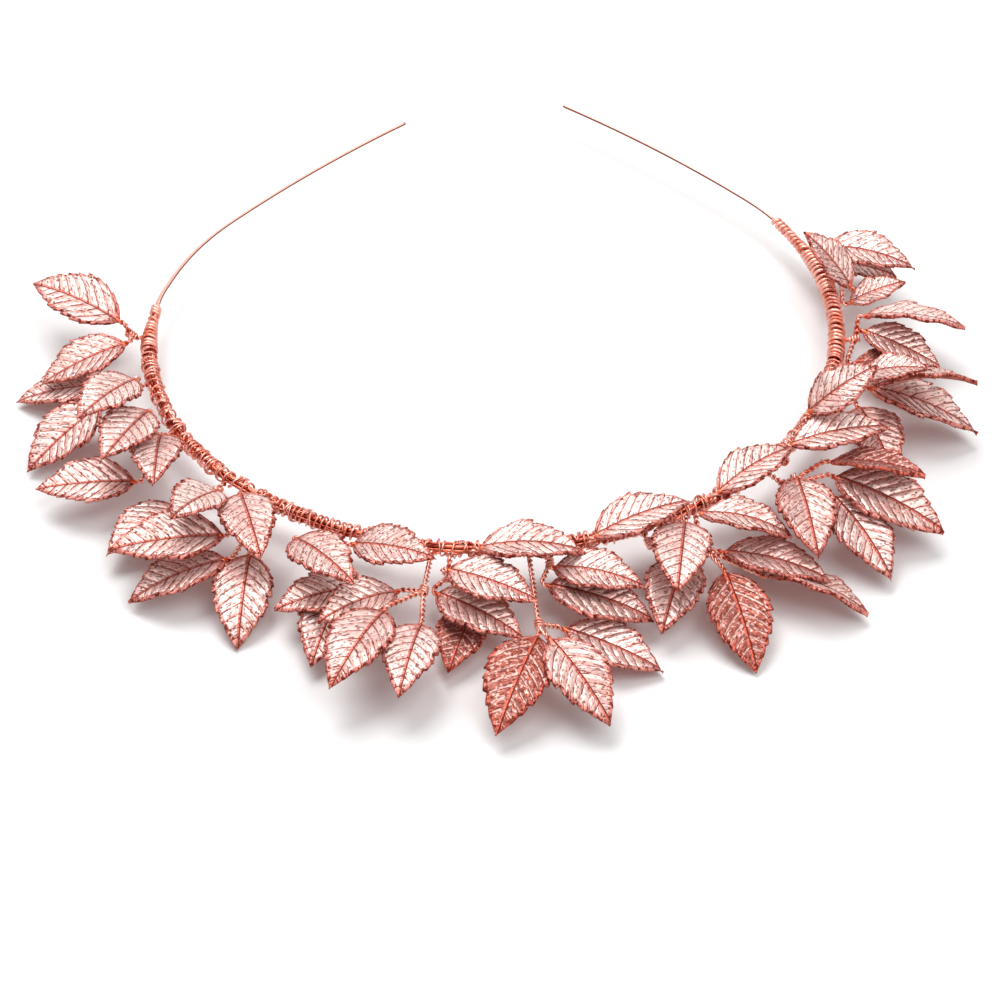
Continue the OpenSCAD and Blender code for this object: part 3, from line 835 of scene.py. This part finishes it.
class HEADBAND_OT_windings(Operator):
    """Wind the binding wire along the band and round each knot"""

    bl_idname = "headband.windings"
    bl_label = "Wound Wire"

    def execute(self, context):
        band = settings().band
        wire = settings().wire
        path = BandPath(band)
        tree = winding_tree()
        # Wires under the binding are darkened as painted shade
        bound = plated("bound_wire")
        left_inner = band.left_mouth + wire.left_wrap
        right_inner = band.right_mouth - wire.right_wrap
        left_start = band.left_mouth + wire.wrap_wire
        right_end = band.right_mouth - wire.wrap_wire
        lap, long_step, straight = 6 * MM, 0.4 * MM, 1e6 * MM
        tight_steps, open_steps, loose_steps = 18, 20, 60

        def open_pitches(stations):
            close = np.zeros(len(stations))
            for start, end in CLOSE_SPANS:
                away = np.maximum(start * MM - stations, stations - end * MM)
                close = np.maximum(close, np.clip(1 - away / lap, 0, 1))
            return wire.open_pitch + (wire.close_pitch - wire.open_pitch) * close

        labels = ("Wander", "Loose", "Step", "Wire", "Full Radius")
        shared = {
            "Small Radius": wire.strip_radius,
            "Out": wire.bundle_out,
            "Up": wire.bundle_up,
            "Material": plated("binding_wire"),
        }

        def winding(*sizes, **more):
            return {**dict(zip(labels, sizes, strict=True)), **shared, **more}

        centred = {"Out": 0.0, "Up": 0.0}
        tight = winding(1.6, 0.2, wire.wrap_pitch / tight_steps, wire.wrap_wire, wire.wrap_radius)
        spread = winding(2.2, 0.5, wire.close_pitch / open_steps, wire.binding, wire.open_radius)
        stray = winding(2.6, 1.0, wire.loose_pitch / loose_steps, wire.loose_wire, wire.loose_radius)
        tail = winding(0.5, 0.2, long_step, wire.tail_wire, wire.tail_radius, Material=bound)
        vine = winding(0.02, 0.1, long_step, wire.vine, wire.vine_radius, Material=bound, **centred)
        middle = (left_inner - lap, right_inner + lap)
        vines = (
            band.left_mouth + wire.left_sleeve + wire.taper,
            band.right_mouth - wire.right_sleeve - wire.taper,
        )
        upper = (band.strip_lean + wire.vine_apart) / (2 * math.pi)
        lower = (band.strip_lean - wire.vine_apart) / (2 * math.pi)
        windings = (
            ("left_end_turns", "left_end_wrap", left_start, left_inner, wire.wrap_pitch, 0.0, tight),
            ("binding_turns", "binding_wire", *middle, open_pitches, 0.3, spread),
            ("right_end_turns", "right_end_wrap", right_inner, right_end, wire.wrap_pitch, 0.0, tight),
            ("loose_turns", None, *middle, -wire.loose_pitch, 0.6, stray),
            ("inner_wire_tail", None, *middle, wire.tail_pitch, 0.45, tail),
            ("outer_wire_tail", None, *middle, wire.tail_pitch, 0.8, tail),
            ("upper_vine_strand", "upper_vine_wire", *vines, straight, upper, vine),
            ("lower_vine_strand", "lower_vine_wire", *vines, straight, lower, vine),
        )
        for seed, (name, node, start, end, pitches, first_turn, own) in enumerate(windings):
            line = wound_line(name + "_line", path, wire, start, end, pitches, first_turn)
            piece = tree.bake(name, line, {**own, "Seed": 7.0 * seed})
            dress(piece, "crown", "binding_wire", *([node] if node else []))
        runs = []
        steps = 9
        half = wire.knot_length / 2
        for knot_mm in KNOTS:
            station, out, up = (value * MM for value in knot_mm)
            knot = path.place(station, out, up)
            ahead = (knot - path.place(station, wire.elbow_out, 0)).normalized()
            runs.append([knot + ahead * d for d in np.linspace(-half, half, steps)])
        along = np.tile(np.linspace(0, wire.knot_length, steps), len(runs))
        turns = along / wire.knot_pitch
        lines = polyline("knot_lines", runs, station=along, turns=turns, fullness=np.ones(len(along)))
        step, knot_wire = wire.knot_pitch / tight_steps, wire.strand * 0.8
        own = winding(0.2, 0.2, step, knot_wire, wire.knot_radius, **centred)
        piece = tree.bake("knot_turns", lines, {**own, "Seed": 9.0})
        dress(piece, "crown", "binding_wire")
        return {"FINISHED"}


# Strip


def strip_section(band):
    """Outline of the leaning strip with rounded edges, and which points are on its edge towards the head,
    where shade is painted.
    """
    corner = 4
    half_t = band.strip_thickness / 2
    half_w = band.strip_width / 2
    lean = Matrix.Rotation(band.strip_lean, 2)
    points = []
    inner_edge = []
    for quarter, (sx, sy) in enumerate(((1, 1), (-1, 1), (-1, -1), (1, -1))):
        for step in range(corner):
            turn = math.pi / 2 * (quarter + step / (corner - 1))
            x = sx * (half_t - band.strip_round) + band.strip_round * math.cos(turn)
            y = sy * (half_w - band.strip_round) + band.strip_round * math.sin(turn)
            points.append(lean @ Vector((x, y)))
            inner_edge.append(float(sx < 0 < sy))
    return points, inner_edge


def strip_rings(path, section, stations, mouth, set_angle):
    """Rings of the strip along an arm, turned inward over its start."""
    pivot = path.point(mouth)
    side = math.copysign(1, mouth)
    rings = []
    for station in stations:
        share = min(1, abs(station - mouth) / path.band.set_run)
        turn = Matrix.Rotation(side * set_angle * share, 3, "Z")
        ring = [path.place(station, p.x, p.y) for p in section]
        rings.append([pivot + turn @ (p - pivot) for p in ring])
    return np.array(rings, float)


class HEADBAND_OT_strip(Operator):
    """Make the springy arms and plate the strip"""

    bl_idname = "headband.strip"
    bl_label = "Spring Strip"

    def execute(self, context):
        band = settings().band
        path = BandPath(band)
        metal = plated("strip_metal")
        arms = (
            ("left_arm", band.left_mouth, -band.half_length, band.left_set),
            ("right_arm", band.right_mouth, band.half_length, band.right_set),
        )
        section, inner_edge = strip_section(band)
        for body, mouth, tip, set_angle in arms:
            stations = np.linspace(mouth, tip, ARM_RINGS)
            rings = strip_rings(path, section, stations, mouth, set_angle)
            piece = new_object(f"springy_{body}", ring_mesh(f"springy_{body}", rings))
            piece.data.materials.append(metal)
            # Marks the strip's edge towards the head for painted shade
            carry(piece.data, "inner_edge", np.tile(inner_edge, len(stations)))
            reach = math.copysign(band.set_run, mouth)
            path.point(mouth)
            path.point(mouth + reach)
            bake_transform(piece)
            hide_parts(f"headband_{body}")
        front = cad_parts["headband_front"]
        front.data.materials.clear()
        front.data.materials.append(metal)
        return {"FINISHED"}


# Finishes


class Shader(NodeTree):
    """A material's node tree."""

    def __init__(self, name):
        self.material = bpy.data.materials.new(name)
        self.material.use_nodes = True
        super().__init__(self.material.node_tree)
        self.surface = self.nodes["Principled BSDF"]
        self.place = self.node("ShaderNodeTexCoord").outputs["Object"]

    def attribute(self, name):
        """A float that the mesh carries at each point."""
        return self.node("ShaderNodeAttribute", attribute_name=name).outputs["Fac"]

    def spread(self, value, low, high, to_low, to_high, **options):
        """A value carried from one range to another."""
        sockets = {"Value": value, "From Min": low, "From Max": high, "To Min": to_low, "To Max": to_high}
        return self.node("ShaderNodeMapRange", sockets, **options).outputs["Result"]

    def line(self, distance, width):
        """1 on a line, falling to 0 at its width."""
        return self.spread(distance, width * 0.4, width, 1.0, 0.0, interpolation_type="SMOOTHSTEP")

    def noise(self, scale, detail=3.0, vector=None):
        """Noise in the object's own space, with its scale per metre."""
        sockets = {"Vector": vector or self.place, "Scale": scale, "Detail": detail}
        return self.out("ShaderNodeTexNoise", sockets)

    def mix(self, factor, first, second):
        """Two colours mixed."""
        made = self.node("ShaderNodeMix", {"Factor": factor}, data_type="RGBA")
        for key, value in ((6, first), (7, second)):
            plain = not isinstance(value, NodeSocket)
            self.set(made.inputs[key], (*value, 1.0) if plain else value)
        return made.outputs[2]

    def lay(self, plate, mask, strength, colour):
        """A colour laid over a plate where a mask has it."""
        return self.mix(self.times(mask, strength), plate, colour)

    def finish(self, plate, rough, height, depth, metallic):
        """Sets the surface, with its relief as a depth in metres, and returns the material."""
        sockets = self.surface.inputs
        relief = self.out("ShaderNodeBump", {"Height": height, "Distance": depth, "Strength": 1.0})
        self.set(sockets["Base Color"], plate)
        self.set(sockets["Roughness"], rough)
        self.set(sockets["Normal"], relief)
        self.set(sockets["Metallic"], metallic)
        return self.material


def leaf_metal():
    """Rose gold plate on cast leaves: pale panels, red veins and rims, dark lines and dots; the red in the
    vein grooves and on the rims, the dark lines beside the veins, the deep undersides and the dark listed
    leaves are painted shade, with painted highlights on their ridges.
    """
    finish = settings().finish
    shader = Shader("leaf_metal")
    vein = shader.attribute("vein")
    offset = shader.attribute("offset")
    margin = shader.attribute("margin")
    tone = shader.attribute("tone")

    # Red of the veins, the rib, the rim and the base; in the vein grooves and on the rim it is painted shade
    wavering = shader.math("ADD", vein, shader.spread(shader.noise(WAVER), 0, 1, -0.08, 0.08))
    from_vein = shader.math("PINGPONG", wavering, 0.5)
    side_vein = shader.line(from_vein, width=0.1)
    rib = shader.line(shader.math("ABSOLUTE", offset), width=0.34)
    rim = shader.line(margin, width=1.0)
    base = shader.spread(shader.attribute("leaf_u"), 0.03, 0.14, 0.9, 0.0)
    red = shader.most(base, rib, shader.times(rim, 0.85))

    # Painted highlights: bright ridges and glinting specks on the leaves painted dark
    glint_specks = shader.spread(shader.noise(GLINT_SPECKS, 2.0), 0.54, 0.62, 0.0, 0.85)
    ridge_highlights = shader.most(shader.line(from_vein, width=0.2), glint_specks)

    # Painted shadow in dark lines behind the veins and the rib, and dark dots, dashes and gaps in the rim
    broken = shader.spread(shader.noise(BREAKS), 0.4, 0.52, 0.1, 1.0)
    behind = shader.math("PINGPONG", shader.math("SUBTRACT", wavering, 0.075), 0.5)
    vein_shadow_line = shader.times(shader.line(behind, width=0.07), broken)
    rib_shadow_line = shader.line(shader.math("ABSOLUTE", shader.math("SUBTRACT", offset, 0.3)), width=0.17)
    cells = shader.node("ShaderNodeTexVoronoi", {"Vector": shader.place, "Scale": DOTS}, feature="F1")
    near_rim = shader.spread(margin, 0.8, 3.2, 1.0, 0.55)
    dots = shader.times(shader.line(cells.outputs["Distance"], width=0.34), near_rim)
    sockets = {"X": shader.times(vein, 4.0), "Y": shader.times(offset, 0.8), "Z": shader.times(tone, 60.0)}
    leaf_place = shader.out("ShaderNodeCombineXYZ", sockets)
    dashes = shader.spread(shader.noise(1.6, 2.0, leaf_place), 0.37, 0.43, 0.8, 0.0)
    gaps = shader.spread(shader.noise(RIM_GAPS, 1.0), 0.38, 0.46, 1.0, 0.0)
    dark = shader.most(vein_shadow_line, rib_shadow_line, dots, dashes, shader.times(rim, gaps))

    patches = shader.spread(shader.noise(PATCHES), 0.4, 0.7, 0.0, 1.0)
    plate = shader.mix(patches, finish.leaf_pale, finish.leaf_blush)
    # Coral red painted as shade in the vein grooves
    plate = shader.lay(plate, side_vein, 0.7, finish.leaf_red_and_shade)
    # Dark leaves: the deep colour as painted shade on the listed leaves and as a random tone on the others,
    # with painted highlights on the ridges
    deep = shader.lay(finish.leaf_deep_and_shade, ridge_highlights, 0.8, finish.leaf_blush)
    plate = shader.lay(plate, tone, 0.9, deep)
    # Red on the base and the rib, and painted shade on the rim
    plate = shader.lay(plate, red, 0.85, finish.leaf_red_and_shade)
    # Deep red painted as shade on the undersides
    plate = shader.lay(plate, shader.attribute("underside"), 0.9, finish.leaf_under_shade)
    # Dark painted shadow beside the veins and the rib, with the dark dots, dashes and rim gaps
    plate = shader.lay(plate, dark, 0.92, finish.leaf_shadow_and_marks)
    grain = shader.noise(PORES, 4.0)
    rough = shader.math("ADD", shader.spread(grain, 0.3, 0.7, 0.4, 0.56), shader.times(dark, 0.15))
    height = shader.math("SUBTRACT", shader.times(grain, 0.5), dark)
    return shader.finish(plate, rough, height, depth=0.1 * MM, metallic=0.85)


def plated(name):
    """Rose gold plate with duller patches and fine drawing marks, solder where a stalk meets its leaf, and
    painted shade on the strip's edge towards the head.
    """
    finish = settings().finish
    bright, deep, patch_scale, smooth, rough = PLATES[name]
    shader = Shader(name)
    patches = shader.spread(shader.noise(patch_scale), 0.4, 0.66, 0.0, 1.0)
    marks = shader.noise(DRAW_MARKS, 4.0)
    plate = shader.mix(patches, getattr(finish, bright), getattr(finish, deep))
    plate = shader.mix(shader.attribute("leaf_end"), plate, finish.solder)
    # Painted shade on the strip's edge towards the head
    inner_edge = shader.spread(shader.attribute("inner_edge"), 0.4, 0.8, 0.0, 1.0)
    plate = shader.mix(inner_edge, plate, finish.strip_edge_shade)
    roughness = shader.spread(marks, 0.3, 0.7, smooth, rough)
    return shader.finish(plate, roughness, marks, depth=0.02 * MM, metallic=1.0)


def floor_paper(floor_colour):
    """Pale paper that keeps the shadow, and that the metal sees as mostly white."""
    shader = Shader("floor_paper")
    tint = shader.spread(shader.noise(30.0), 0, 1, 0, 0.04)
    sockets = shader.surface.inputs
    shader.set(sockets["Base Color"], shader.mix(tint, floor_colour, (0.8, 0.8, 0.8)))
    shader.set(sockets["Roughness"], 0.9)
    shader.set(sockets["Specular IOR Level"], 0.1)
    white = shader.out("ShaderNodeEmission", {"Color": WHITE, "Strength": 1.0})
    mirrored = shader.times(shader.node("ShaderNodeLightPath").outputs["Is Glossy Ray"], FLOOR_MIRROR)
    paper = shader.out("ShaderNodeMixShader", {0: mirrored, 1: shader.surface.outputs[0], 2: white})
    shader.set(shader.nodes["Material Output"].inputs["Surface"], paper)
    return shader.material


# Stage


def studio_world():
    """A pale world that mirrors see as white, and that lights softly."""
    world = bpy.data.worlds.new("studio")
    bpy.context.scene.world = world
    world.use_nodes = True
    tree = NodeTree(world.node_tree)
    light = tree.nodes["Background"]
    tree.set(light.inputs["Color"], WHITE)
    tree.set(light.inputs["Strength"], AMBIENT)
    shown = tree.out("ShaderNodeBackground", {"Color": WHITE, "Strength": 1.0})
    rays = tree.node("ShaderNodeLightPath").outputs
    seen = tree.most(rays["Is Camera Ray"], rays["Is Glossy Ray"], rays["Is Transmission Ray"])
    pick = tree.out("ShaderNodeMixShader", {0: seen, 1: light.outputs[0], 2: shown})
    tree.set(tree.nodes["World Output"].inputs["Surface"], pick)


def soft_lamp(name, place, size, power):
    """A square soft box aimed at the headband."""
    lamp = bpy.data.lights.new(name, "AREA")
    lamp.size = size
    lamp.energy = power
    made = bpy.data.objects.new(name, lamp)
    made.location = place
    made.rotation_euler = Vector(place).to_track_quat("Z", "Y").to_euler()
    bpy.context.scene.collection.objects.link(made)


class HEADBAND_OT_stage(Operator):
    """Set the camera, a pale floor and soft light"""

    bl_idname = "headband.stage"
    bl_label = "Studio Stage"

    def execute(self, context):
        stage = settings().stage
        context.scene.view_settings.view_transform = "Standard"
        camera = bpy.data.objects.new("camera", bpy.data.cameras.new("camera"))
        level = stage.distance * math.cos(stage.elevation)
        height = stage.distance * math.sin(stage.elevation)
        ahead = Vector((-math.sin(stage.azimuth), math.cos(stage.azimuth), 0))
        sideways = Vector((stage.aim_side, 0, 0))
        camera.location = height * UP - level * ahead + sideways
        target = ahead * stage.aim_forward + sideways
        camera.rotation_euler = (target - camera.location).to_track_quat("-Z", "Y").to_euler()
        camera.data.lens = stage.lens
        camera.data.sensor_width = 36
        camera.data.clip_start = 0.01
        context.scene.collection.objects.link(camera)
        context.scene.camera = camera
        floor_mesh = bpy.data.meshes.new("floor")
        reach = 4.0
        low = CAD_LOW.z - stage.floor_drop
        corners = [(-reach, -reach, low), (reach, -reach, low), (reach, reach, low), (-reach, reach, low)]
        floor_mesh.from_pydata(corners, [], [(0, 1, 2, 3)])
        floor = new_object("floor", floor_mesh)
        floor_mesh.materials.append(floor_paper(stage.floor_colour))
        studio_world()
        for lamp in LAMPS:
            soft_lamp(*lamp)
        return {"FINISHED"}


class HEADBAND_PT_panel(Panel):
    """Lists the steps that build the headband"""

    bl_idname = "HEADBAND_PT_panel"
    bl_label = "Leaf Headband"
    bl_space_type = "VIEW_3D"
    bl_region_type = "UI"
    bl_category = "Headband"

    def draw(self, context):
        for step in STEPS:
            self.layout.operator(step.bl_idname)


STEPS = (
    HEADBAND_OT_stage,
    HEADBAND_OT_strip,
    HEADBAND_OT_windings,
    HEADBAND_OT_stems,
    HEADBAND_OT_leaves,
)
GROUPS = (BandSettings, LeafSettings, WireSettings, FinishSettings, StageSettings, HeadbandSettings)


def register():
    for group in (*GROUPS, *STEPS, HEADBAND_PT_panel):
        bpy.utils.register_class(group)
    bpy.types.Scene.headband = PointerProperty(type=HeadbandSettings)


def unregister():
    del bpy.types.Scene.headband
    for group in reversed((*GROUPS, *STEPS, HEADBAND_PT_panel)):
        bpy.utils.unregister_class(group)


def main():
    register()
    bpy.ops.headband.stage()
    bpy.ops.headband.strip()
    bpy.ops.headband.windings()
    bpy.ops.headband.stems()
    bpy.ops.headband.leaves()


if __name__ == "__main__":
    main()
